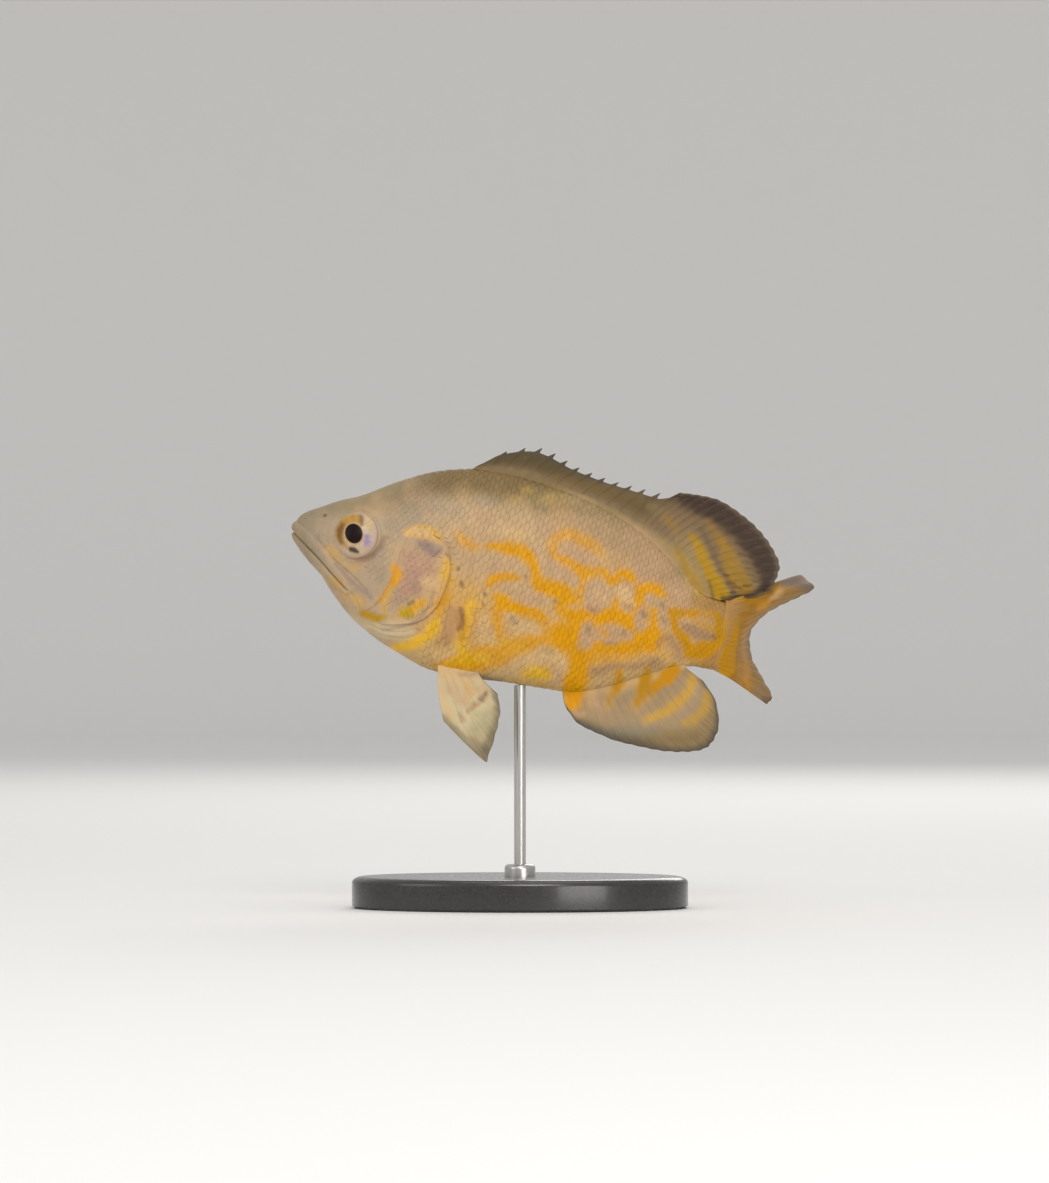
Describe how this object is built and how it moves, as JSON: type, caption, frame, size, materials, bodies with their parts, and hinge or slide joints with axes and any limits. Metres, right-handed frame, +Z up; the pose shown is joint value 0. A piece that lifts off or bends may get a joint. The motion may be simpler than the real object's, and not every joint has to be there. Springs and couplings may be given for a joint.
{
  "type": "oscar fish model on stand",
  "caption": "Life-size young oscar cichlid in swimming pose with spread fins and flicked tail, held above an oval display base by a short rod.",
  "frame": {"origin": "middle of the underside of the display stand's oval base", "axes": "+Z up; -X is the way the fish looks, nose raised; -Y is the side of its left flank; +Y the side its tail is flicked to"},
  "size_m": [0.1156, 0.0493, 0.1012],
  "materials": {
    "skin": "moist scaly skin, olive tan on the back, pinkish beige with orange marks on the flank, pale yellow below",
    "lips": "smooth moist skin, pale beige",
    "eye": "clear glossy cornea over a gold and cream iris with a black pupil",
    "fin": "rayed membrane, olive to grey with yellow bands",
    "pale_fin": "rayed membrane, cream to clear",
    "stand_base": "black satin lacquer",
    "stand_rod": "brushed"
  },
  "bodies": {
    "root": {"head": "skin", "lower_jaw": "skin", "upper_lip": "lips", "lower_lip": "lips", "gill_cover_left": "skin", "gill_cover_right": "skin", "eye_left": "eye", "eye_right": "eye", "trunk": "skin", "tail_stem": "skin", "dorsal_fin": "fin", "anal_fin": "fin", "tail_fin": "fin", "pelvic_fin_left": "pale_fin", "pelvic_fin_right": "pale_fin", "pectoral_fin_left": "pale_fin", "pectoral_fin_right": "pale_fin", "stand_base": "stand_base", "stand_collar": "stand_rod", "stand_rod": "stand_rod"}
  },
  "joints": []
}
